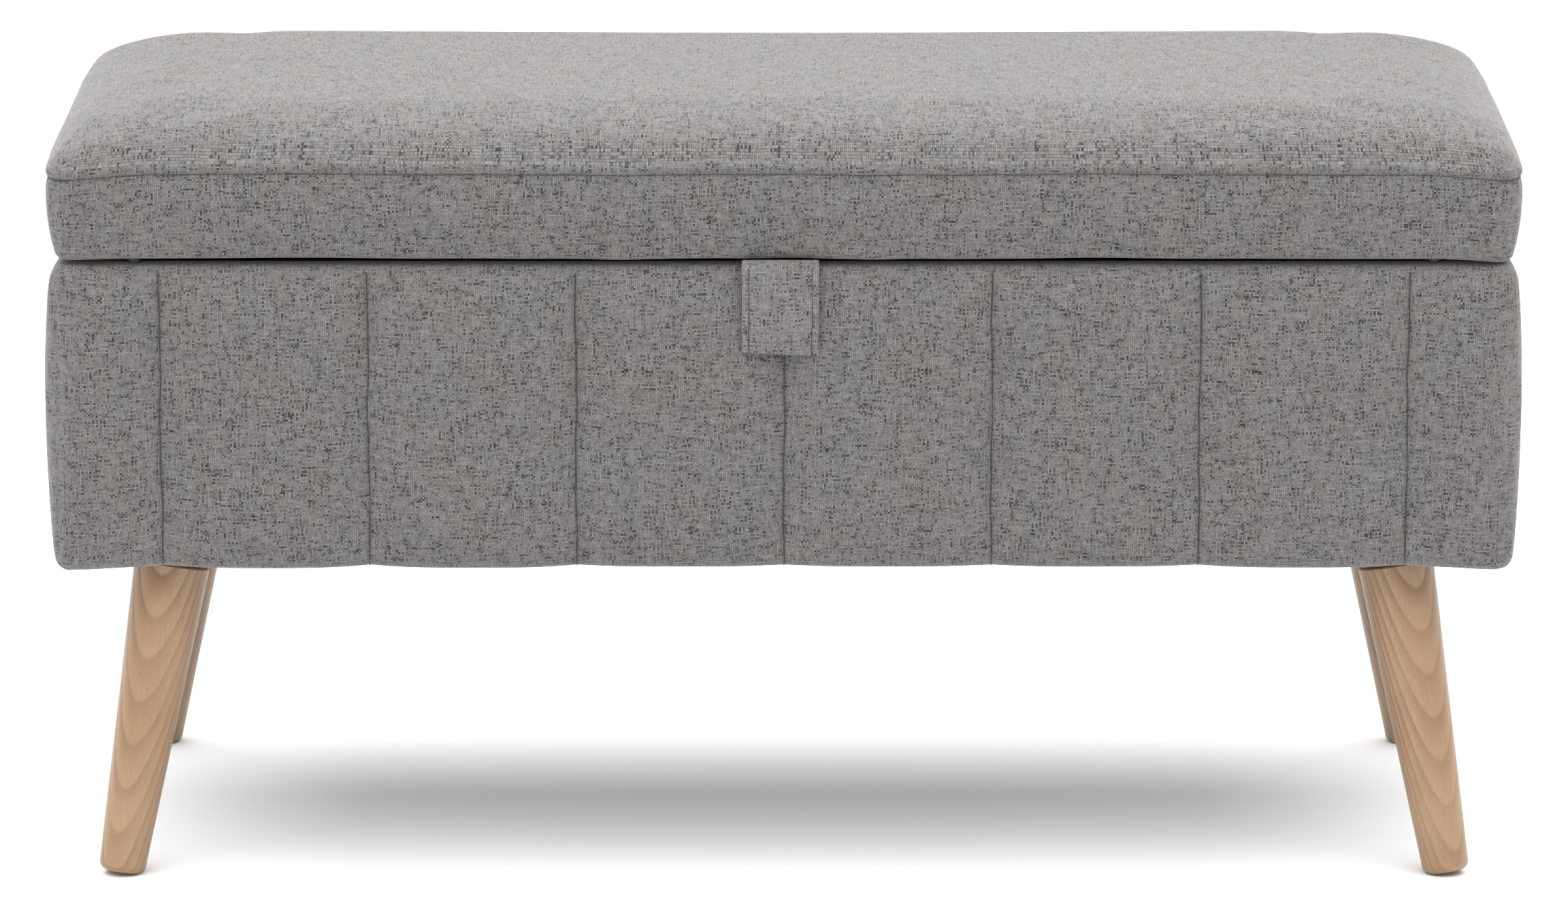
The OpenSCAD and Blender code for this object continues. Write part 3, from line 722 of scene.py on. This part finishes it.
def tab_path():
    """Side view of the strip's middle, from under the lid round the fold and back, in (y, z)."""
    under = tab_hi.z - TAB_PLY / 2
    face, back = tab_lo.y + 1.4 * MM, tab_hi.y - TAB_REACH
    fold_z = tab_lo.z + FOLD_UP
    rear = box_lo.y - 2.4 * MM
    r = (rear - face) / 2
    path = [(back, under), (-half_d + 8 * MM, under), (-half_d + 1.0 * MM, under - 0.2 * MM)]
    path += [(face + 1.4 * MM, under - 1.3 * MM), (face + 0.3 * MM, under - 4 * MM)]
    drop = under - 4 * MM - fold_z
    for k in range(1, 9):
        bow = math.sin(math.pi * k / 9)
        path.append((face - 1.0 * MM * bow, under - 4 * MM - drop * k / 9))
    for k in range(0, 7):
        turn = math.radians(180 + 30 * k)
        path.append(((face + rear) / 2 + r * math.cos(turn), fold_z + FOLD_DROP * math.sin(turn)))
    for k in range(1, 9):
        path.append((rear, fold_z + drop * k / 9))
    path += [(-half_d + 0.4 * MM, under - 2.2 * MM), (-half_d + 8 * MM, under - TAB_PLY),
             (back, under - TAB_PLY)]
    return path


tab_profile = np.array(tab_path())
steps = np.diff(tab_profile, axis=0)
tangent = np.vstack([steps[:1], (steps[1:] + steps[:-1]) / 2, steps[-1:]])
tangent /= np.linalg.norm(tangent, axis=1)[:, None]
outward = np.stack([tangent[:, 1], -tangent[:, 0]], axis=1)
STITCHED_AT = TAB_BORDER / MM
edge_places = [0, 0.5, 1.6, 3.0, 4.2, STITCHED_AT, 5.0, 6.2, 9.0, 14.0, 20.0]
tab_columns = [-tab_half + e * MM for e in edge_places]
tab_columns += [-x for x in reversed(tab_columns)]
run = distances(np.column_stack([tab_profile, np.zeros(len(tab_profile))]))


def tab_thickness(x):
    inside = tab_half - abs(x)
    groove = 0.45 * math.exp(-abs(inside - TAB_BORDER) / (0.5 * MM))
    edge = smooth(inside / (1.3 * MM)) * 0.55 + 0.45
    border = 1.12 if inside < TAB_BORDER else 1.0
    return TAB_PLY / 2 * edge * border * (1 - groove)


tab_verts, tab_faces, tab_uvs = [], [], []
wide, tall = len(tab_columns), len(tab_profile)
for face_side in (1, -1):
    for k, (y, z) in enumerate(tab_profile):
        for x in tab_columns:
            t = tab_thickness(x) * face_side
            hang = smooth((hinge_z - z) / (60 * MM))
            tilt = -x * 0.045 * hang
            side_wave = 0.35 * MM * math.sin(z / (7 * MM) + (1.3 if x > 0 else 0)) * hang
            tab_verts.append((tab_x + x + side_wave, y + outward[k][0] * t,
                              z + outward[k][1] * t + tilt))
offset = wide * tall
for k in range(tall - 1):
    for c in range(wide - 1):
        a, b = k * wide + c, k * wide + c + 1
        d, e = a + wide, b + wide
        tab_faces += [(a, d, e, b), (offset + a, offset + b, offset + e, offset + d)]
        cell = [(c, k), (c, k + 1), (c + 1, k + 1), (c + 1, k)]
        tab_uvs += [(tab_columns[i] + 5.0, run[j] + 3.0) for i, j in cell]
        tab_uvs += [(tab_columns[i] + 6.0, run[j] + 3.0) for i, j in (cell[:1] + cell[:0:-1])]
rim = [k * wide for k in range(tall)] + [(tall - 1) * wide + c for c in range(1, wide)]
rim += [k * wide + wide - 1 for k in range(tall - 2, -1, -1)] + [c for c in range(wide - 2, 0, -1)]
for a, b in zip(rim, rim[1:] + rim[:1]):
    tab_faces.append((b, a, offset + a, offset + b))
    tab_uvs += [(7.0, 3.0), (7.002, 3.0), (7.002, 3.001), (7.0, 3.001)]
tab_mesh = bpy.data.meshes.new("pull_tab_loop")
tab_mesh.from_pydata(tab_verts, [], tab_faces)
tab_mesh.uv_layers.new(name="UVMap").data.foreach_set("uv", np.array(tab_uvs).ravel())
tab_mesh.polygons.foreach_set("use_smooth", [True] * len(tab_faces))
tab = bpy.data.objects.new("pull_tab_loop", tab_mesh)
scene.collection.objects.link(tab)
tab_mesh.materials.append(tab_cloth_painted_lighter)
tab_round = tab.modifiers.new("round", "SUBSURF")
tab_round.levels = tab_round.render_levels = 1
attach(tab, "lid")
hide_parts("pull_tab")
print(f"pull tab: {wide} by {tall} points a side")

# %% [markdown]
# ## Stitches and staples
# A row of stitches is one small shape repeated along a line, which is a job for Geometry Nodes.
# The tree takes a mesh of edges, turns it into curves, places a point every stitch length, and
# puts a stretched ball on each, turned to follow the line. The instances are then made real and
# given their material, and the result is copied into a plain mesh.

# %% Build the stitching tree
def stitching_tree():
    group = bpy.data.node_groups.new("sewn_line", "GeometryNodeTree")
    face = group.interface
    face.new_socket("Geometry", in_out="INPUT", socket_type="NodeSocketGeometry")
    for name, value in (("Pitch", 4 * MM), ("Length", 3 * MM), ("Radius", 0.25 * MM)):
        face.new_socket(name, in_out="INPUT", socket_type="NodeSocketFloat").default_value = value
    face.new_socket("Thread", in_out="INPUT", socket_type="NodeSocketMaterial")
    face.new_socket("Geometry", in_out="OUTPUT", socket_type="NodeSocketGeometry")
    t = Tree(group)
    given = t.add("NodeGroupInput").outputs
    curve = t.add("GeometryNodeMeshToCurve", {"Mesh": given["Geometry"]}).outputs[0]
    even = t.add("GeometryNodeResampleCurve", {"Curve": curve, "Length": given["Pitch"]}, mode="LENGTH")
    points = t.add("GeometryNodeCurveToPoints", {"Curve": even.outputs[0]}, mode="EVALUATED")
    ball = t.add("GeometryNodeMeshUVSphere", {"Segments": 6, "Rings": 4, "Radius": 1.0}).outputs["Mesh"]
    half = t.math("MULTIPLY", given["Length"], 0.5)
    size = t.xyz(given["Radius"], given["Radius"], half)
    stitch = t.add("GeometryNodeTransform", {"Geometry": ball, "Scale": size}).outputs[0]
    placed = t.add("GeometryNodeInstanceOnPoints", {
        "Points": points.outputs["Points"], "Instance": stitch, "Rotation": points.outputs["Rotation"]})
    real = t.add("GeometryNodeRealizeInstances", {"Geometry": placed.outputs[0]}).outputs[0]
    smooth_node = t.add("GeometryNodeSetShadeSmooth", {"Geometry": real}).outputs[0]
    dressed = t.add("GeometryNodeSetMaterial", {"Geometry": smooth_node, "Material": given["Thread"]})
    t.add("NodeGroupOutput", {"Geometry": dressed.outputs[0]})
    return group


sewn_line = stitching_tree()


def sew(name, paths, body, thread, pitch=4.2 * MM, length=3.3 * MM, radius=0.28 * MM):
    """Stitches along each path, a list of points, as one plain mesh that rides on a body."""
    verts, edges = [], []
    for path in paths:
        first = len(verts)
        verts += [tuple(p) for p in path]
        edges += [(first + k, first + k + 1) for k in range(len(path) - 1)]
    line = bpy.data.meshes.new(name + "_line")
    line.from_pydata(verts, edges, [])
    guide = bpy.data.objects.new(name + "_guide", line)
    scene.collection.objects.link(guide)
    sewing = guide.modifiers.new("sewn", "NODES")
    sewing.node_group = sewn_line
    values = {"Pitch": pitch, "Length": length, "Radius": radius, "Thread": thread}
    for item in sewn_line.interface.items_tree:
        if item.in_out == "INPUT" and item.name in values:
            sewing[item.identifier] = values[item.name]
    evaluated = guide.evaluated_get(bpy.context.evaluated_depsgraph_get())
    mesh = bpy.data.meshes.new_from_object(evaluated)
    made = bpy.data.objects.new(name, mesh)
    scene.collection.objects.link(made)
    bpy.data.objects.remove(guide)
    if not mesh.materials:
        mesh.materials.append(thread)
    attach(made, body)
    print(f"{name}: {len(mesh.polygons)} faces")
    return made

# %% [markdown]
# ## Where the seams run
# The lines to sew are read back from the finished covers, so that the stitches sit on the cloth
# after it has been puffed. A ring or a column of the cover is already such a line. It is lifted
# by a hair so that the thread shows.

# %% Sew the covers
def ring_line(points, count, row, lift):
    """One ring of a cover as a closed line, lifted outwards."""
    ring = points[row * count:(row + 1) * count]
    centre = np.array([0.0, 0.0, ring[:, 2].mean()])
    away = np.sign(ring - centre) * np.array([1.0, 1.0, 0.0])
    away /= np.maximum(np.linalg.norm(away, axis=1), 1e-9)[:, None]
    return list(ring + away * lift) + [ring[0] + away[0] * lift]


welt_line = ring_line(lid_points, lid_count, ring_total - 1, -0.15 * MM)
sew("welt_topstitch", [[p + np.array([0, 0, 0.1 * MM]) for p in welt_line]], "lid", light_thread,
    pitch=4.6 * MM, length=3.5 * MM)
# The channel seams get dark stitches longer than their pitch, a continuous cord in the groove: dark thread
# together with painted shade of the seam's crease.
channel_paths = []
for c, point in enumerate(box_outline):
    if is_at_seam(point):
        out = np.array([point.nx, point.ny, 0.0]) * 1.1 * MM
        channel_paths.append([box_points[r * ring_count + c] + out for r in side_rows])
sew("channel_stitches_and_crease_shade", channel_paths, "box", dark_thread_and_crease_shade,
    pitch=4.4 * MM, length=4.8 * MM, radius=0.42 * MM)
# The welt's lower seam gets the same continuous dark cord: dark thread together with painted shade of the seam's
# crease.
sew("welt_seam", [ring_line(lid_points, lid_count, seam_row, 1.0 * MM)], "lid", dark_thread_and_crease_shade,
    pitch=4.4 * MM, length=4.8 * MM, radius=0.38 * MM)
tab_paths = []
stitched = edge_places.index(STITCHED_AT)
for c in (stitched, wide - 1 - stitched):
    tab_paths.append([np.array(tab_verts[k * wide + c]) + 0.3 * MM * np.array([0.0, *outward[k]])
                      for k in range(4, tall - 6)])
sew("tab_stitches", tab_paths, "lid", dark_thread_and_crease_shade, pitch=3.2 * MM, length=3.2 * MM, radius=0.34 * MM)

# %% [markdown]
# ## Beech legs
# The legs are turned from solid beech. A turned leg cuts through the tree's growth rings at a
# slant, so rings show as long arches on two sides and as fine lines on the others, with the
# short brown flecks that mark beech. Each leg has a material whose Mapping node lays the pattern
# along that leg's own axis: rings round a pith that lies beside the leg and leans against it.

# %% Turn the pattern along each leg
GRAIN_SLANT = math.radians(12)  # nearly the leg's own slant: turned wood is seldom quite straight
GRAIN_TURN = 0.30
RING_PITCH = 3.1 * MM
RING_LEAN = 0.075


def beech(name, top, heading, seed):
    made, t, shader = material(name, Roughness=0.42, Specular_IOR_Level=0.4, Coat_Weight=0.12,
                               Coat_Roughness=0.35)
    where = t.add("ShaderNodeTexCoord").outputs["Object"]
    along_leg = t.add("ShaderNodeMapping",
                      {"Vector": where, "Location": top, "Rotation": (0.0, -GRAIN_SLANT, heading)},
                      vector_type="TEXTURE").outputs[0]
    round_leg = heading - math.copysign(GRAIN_TURN, top[0])
    own = t.add("ShaderNodeMapping",
                {"Vector": along_leg, "Rotation": (0.0, 0.0, round_leg)}).outputs[0]
    x, y, z = t.split(own)
    sway = t.noise(t.vector("MULTIPLY", own, (9.0, 9.0, 5.0)), 1.0, 3.0, 0.55)
    sway = t.math("MULTIPLY", t.math("SUBTRACT", sway, 0.5), 9 * MM)
    from_x = t.math("ADD", x, t.math("ADD", sway, 2 * MM * math.sin(seed)))
    lean = t.math("MULTIPLY", z, RING_LEAN)
    from_y = t.math("SUBTRACT", t.math("SUBTRACT", y, lean), (26 + seed) * MM)
    distance = t.math("SQRT", t.math("ADD", t.math("MULTIPLY", from_x, from_x),
                                     t.math("MULTIPLY", from_y, from_y)))
    rings = t.math("DIVIDE", t.math("ADD", distance, t.math("MULTIPLY", sway, 0.20)), RING_PITCH)
    year = t.math("FRACT", rings)
    late = t.math("MULTIPLY", t.math("POWER", year, 1.6), t.between(year, 0.90, 1.0, 1.0, 0.0))
    band = t.math("MULTIPLY", late, t.between(t.noise(own, 14.0), 0.3, 0.7, 0.35, 1.0))
    fibre = t.noise(t.vector("MULTIPLY", own, (1.0, 1.0, 0.04)), 1500.0, 2.0)
    broad = t.noise(t.vector("MULTIPLY", own, (1.0, 1.0, 0.3)), 30.0, 2.0)
    colour = t.mix(t.between(broad, 0.3, 0.7), (0.308, 0.195, 0.111), (0.370, 0.243, 0.147))
    colour = t.mix(t.math("MULTIPLY", band, 0.80), colour, (0.128, 0.062, 0.028))
    colour = t.mix(t.between(fibre, 0.42, 0.68, 0.0, 0.22), colour, (0.180, 0.098, 0.048))
    flecks = t.add("ShaderNodeTexVoronoi", {"Vector": t.vector("MULTIPLY", own, (1.0, 1.0, 0.16)),
                                            "Scale": 620.0, "Randomness": 1.0}).outputs["Distance"]
    chosen = t.between(t.noise(own, 240.0), 0.50, 0.62)
    fleck = t.math("MULTIPLY", t.between(flecks, 0.10, 0.20, 1.0, 0.0), chosen)
    colour = t.mix(t.math("MULTIPLY", fleck, 0.62), colour, (0.085, 0.038, 0.017))
    t.put(shader.inputs["Base Color"], colour)
    t.put(shader.inputs["Roughness"], t.between(band, 0.0, 1.0, 0.40, 0.50))
    grain = t.math("ADD", t.math("MULTIPLY", fibre, 0.7), t.math("MULTIPLY", fleck, -0.6))
    bump(t, shader, grain, 0.06 * MM, 0.5)
    return made


def dress(node, finish):
    """Gives a CAD piece a finish, without touching its mesh."""
    piece = nodes[node]
    if not piece.material_slots:
        piece.data.materials.append(finish)
    for place in piece.material_slots:
        place.material = finish


corners = ["front_left", "front_right", "rear_left", "rear_right"]
for seed, corner in enumerate(corners):
    plate_lo, plate_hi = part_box("leg_plate_" + corner)
    top = ((plate_lo.x + plate_hi.x) / 2, (plate_lo.y + plate_hi.y) / 2, plate_hi.z - 8 * MM)
    heading = math.copysign(math.pi / 4 if top[0] > 0 else 3 * math.pi / 4, top[1])
    dress("leg_" + corner, beech("beech_" + corner, top, heading, seed + 1))
print("four beech legs")

# %% [markdown]
# ## Metal, board, felt and plastic
# The rest of the hardware needs finishes that hold up from close by: black powder coat with a
# fine orange peel, zinc-plated steel with a brushed streak, plywood edges, a dimpled nonwoven
# for the lining and the dust cover, foam and moulded plastic.

# %% Mix the hardware finishes
def coordinates_of(t):
    return t.add("ShaderNodeTexCoord").outputs["Object"]


def powder_coat():
    made, t, shader = material("black_powder_coat", Roughness=0.45, Specular_IOR_Level=0.45)
    peel = t.noise(coordinates_of(t), 900.0, 2.0)
    t.put(shader.inputs["Base Color"], t.mix(peel, (0.012, 0.012, 0.013), (0.026, 0.026, 0.028)))
    bump(t, shader, peel, 0.08 * MM, 0.5)
    return made


def zinc_plate():
    made, t, shader = material("zinc_plate", Metallic=1.0, Roughness=0.34)
    where = coordinates_of(t)
    streak = t.noise(t.vector("MULTIPLY", where, (0.08, 1.0, 1.0)), 1600.0, 2.0)
    cloud = t.noise(where, 60.0, 3.0)
    tone = t.mix(cloud, (0.50, 0.51, 0.52), (0.66, 0.67, 0.69))
    t.put(shader.inputs["Base Color"], tone)
    t.put(shader.inputs["Roughness"], t.between(streak, 0.3, 0.7, 0.26, 0.46))
    bump(t, shader, streak, 0.02 * MM, 0.5)
    return made


def plywood():
    made, t, shader = material("plywood", Roughness=0.62, Specular_IOR_Level=0.3)
    where = coordinates_of(t)
    grain = t.noise(t.vector("MULTIPLY", where, (0.05, 1.0, 1.0)), 420.0, 4.0, 0.6)
    figure = t.noise(t.vector("MULTIPLY", where, (0.15, 1.0, 1.0)), 26.0, 3.0)
    tone = t.mix(t.between(figure, 0.3, 0.7), (0.42, 0.30, 0.18), (0.52, 0.385, 0.245))
    tone = t.mix(t.between(grain, 0.40, 0.72, 0.0, 0.5), tone, (0.30, 0.19, 0.105))
    t.put(shader.inputs["Base Color"], tone)
    bump(t, shader, grain, 0.10 * MM, 0.5)
    return made


def nonwoven(name, dark, light, pitch=2.4 * MM):
    """Pressed felt with rows of small dimples, painted darker inside as their shade."""
    made, t, shader = material(name, Roughness=0.9, Sheen_Weight=0.15, Specular_IOR_Level=0.15)
    where = coordinates_of(t)
    dots = t.add("ShaderNodeTexVoronoi", {"Vector": where, "Scale": 1.0 / pitch,
                                          "Randomness": 0.15}).outputs["Distance"]
    fuzz = t.noise(where, 1400.0, 4.0, 0.7)
    press = t.between(dots, 0.10, 0.32)
    # The dimples are painted darker than the felt round them: painted shade, mixed with the fuzz's random tone.
    lit = t.math("MULTIPLY", press, t.between(fuzz, 0.3, 0.7))
    t.put(shader.inputs["Base Color"], t.mix(lit, dark, light))
    bump(t, shader, t.math("ADD", press, t.math("MULTIPLY", fuzz, 0.5)), 0.2 * MM, 0.6)
    return made


def moulded(name, colour):
    made, t, shader = material(name, Roughness=0.5, Specular_IOR_Level=0.4)
    spark = t.noise(coordinates_of(t), 2400.0, 2.0)
    lighter = tuple(c * 1.8 + 0.004 for c in colour)
    t.put(shader.inputs["Base Color"], t.mix(spark, colour, lighter))
    bump(t, shader, spark, 0.03 * MM, 0.6)
    return made


def foam_rubber():
    made, t, shader = material("foam", Roughness=0.95, Specular_IOR_Level=0.1)
    cells = t.add("ShaderNodeTexVoronoi",
                  {"Vector": coordinates_of(t), "Scale": 900.0}).outputs["Distance"]
    # Each cell's middle, a pit in the bump, is painted darker: painted shade in the pores.
    t.put(shader.inputs["Base Color"], t.mix(cells, (0.50, 0.44, 0.28), (0.78, 0.72, 0.52)))
    bump(t, shader, cells, 0.3 * MM, 0.8)
    return made


black_metal, zinc, ply = powder_coat(), zinc_plate(), plywood()
lining_felt = nonwoven("lining_felt", (0.060, 0.062, 0.066), (0.130, 0.134, 0.140))
dust_felt = nonwoven("dust_felt", (0.008, 0.008, 0.008), (0.026, 0.026, 0.027))
pad_felt = moulded("pad_felt", (0.02, 0.02, 0.02))
plastic, foam = moulded("damper_plastic", (0.014, 0.014, 0.015)), foam_rubber()
by_slot = {"foam": foam, "cover_fabric": cover_cloth, "lining": lining_felt, "dust_cover": dust_felt,
           "black_steel": black_metal, "zinc_steel": zinc, "board": ply, "damper_plastic": plastic,
           "felt": pad_felt}
for entry in frame["record"]["subparts"]:
    if entry["material_slot"] in by_slot:
        dress(entry["node"], by_slot[entry["material_slot"]])
print(f"{len(by_slot)} finishes on {len(nodes)} pieces")

# %% [markdown]
# ## Staples
# Under the bench, staples hold the hem and the dust cover. They reuse the tree of the stitches,
# with a longer pitch and a steel thread.

# %% Drive the staples
def staple_line(lo, hi, z, inset_x=6 * MM, inset_y=10 * MM):
    x0, x1, y0, y1 = lo.x + inset_x, hi.x - inset_x, lo.y + inset_y, hi.y - inset_y
    return [(x0, y0, z), (x1, y0, z), (x1, y1, z), (x0, y1, z), (x0, y0, z)]


for node, body in (("dust_cover", "box"), ("lid_lining", "lid")):
    lo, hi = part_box(node)
    sew(node + "_staples", [staple_line(lo, hi, lo.z - 0.1 * MM)], body, zinc,
        pitch=38 * MM, length=11 * MM, radius=0.6 * MM)

# %% [markdown]
# ## Floor, light and camera
# The setting is a plain pale studio: one wide floor, a large soft light above, a weak one in
# front, one behind that lights the floor under the bench, and an even sky. The camera stands
# far back with a long lens, well above the seat and looking slightly down, so the top of the
# lid shows as a narrow strip.

# %% Lay the floor
def studio_floor():
    made, t, shader = material("studio_floor", Roughness=0.85, Specular_IOR_Level=0.1)
    speck = t.noise(coordinates_of(t), 8.0, 2.0)
    t.put(shader.inputs["Base Color"], t.mix(speck, (0.865, 0.865, 0.865), (0.885, 0.885, 0.885)))
    return made


FLOOR_REACH = 16.0
floor_mesh = bpy.data.meshes.new("studio_floor")
around = [(-1, -1), (1, -1), (1, 1), (-1, 1)]
floor_mesh.from_pydata([(x * FLOOR_REACH, y * FLOOR_REACH, 0.0) for x, y in around], [],
                       [(0, 1, 2, 3)])
floor = bpy.data.objects.new("studio_floor", floor_mesh)
scene.collection.objects.link(floor)
floor_mesh.materials.append(studio_floor())

# %% Light the room
def area_light(name, place, aim, size, watts):
    data = bpy.data.lights.new(name, "AREA")
    data.shape = "RECTANGLE"
    data.size, data.size_y = size
    data.energy = watts
    lamp = bpy.data.objects.new(name, data)
    lamp.location = place
    lamp.rotation_euler = (Vector(aim) - Vector(place)).to_track_quat("-Z", "Y").to_euler()
    scene.collection.objects.link(lamp)


area_light("overhead", (0.0, -0.2, 3.0), (0.0, 0.0, 0.4), (6.0, 5.0), 225.0)
area_light("front_fill", (-1.2, -4.2, 1.5), (0.0, 0.0, 0.3), (2.4, 1.6), 8.0)
area_light("back_fill", (0.0, 5.0, 2.6), (0.0, 0.0, 0.0), (6.0, 3.0), 40.0)
world = bpy.data.worlds.new("sky")
scene.world = world
world.use_nodes = True
sky = Tree(world.node_tree)
up = sky.split(sky.add("ShaderNodeTexCoord").outputs["Generated"])[2]
glow = sky.between(up, 0.0, 0.8, 0.44, 1.15)
sky.put(world.node_tree.nodes["Background"].inputs["Color"], sky.xyz(glow, glow, glow))
world.node_tree.nodes["Background"].inputs["Strength"].default_value = 1.15
scene.view_settings.view_transform = "Standard"
print("three soft lights and an even sky")

# %% Set the camera
CAMERA_BACK = 5.665
CAMERA_UP = 1.543
LOOK_DOWN = math.radians(12.81)
camera_data = bpy.data.cameras.new("camera")
camera_data.sensor_width = 36.0
camera_data.lens = 189.7
camera_data.clip_end = 60.0
camera = bpy.data.objects.new("camera", camera_data)
camera.location = (0.0, -CAMERA_BACK, CAMERA_UP)
camera.rotation_euler = (math.pi / 2 - LOOK_DOWN, 0.0, 0.0)
scene.collection.objects.link(camera)
scene.camera = camera
print(f"camera {CAMERA_BACK:.1f} m away, looking {math.degrees(LOOK_DOWN):.0f} degrees down")
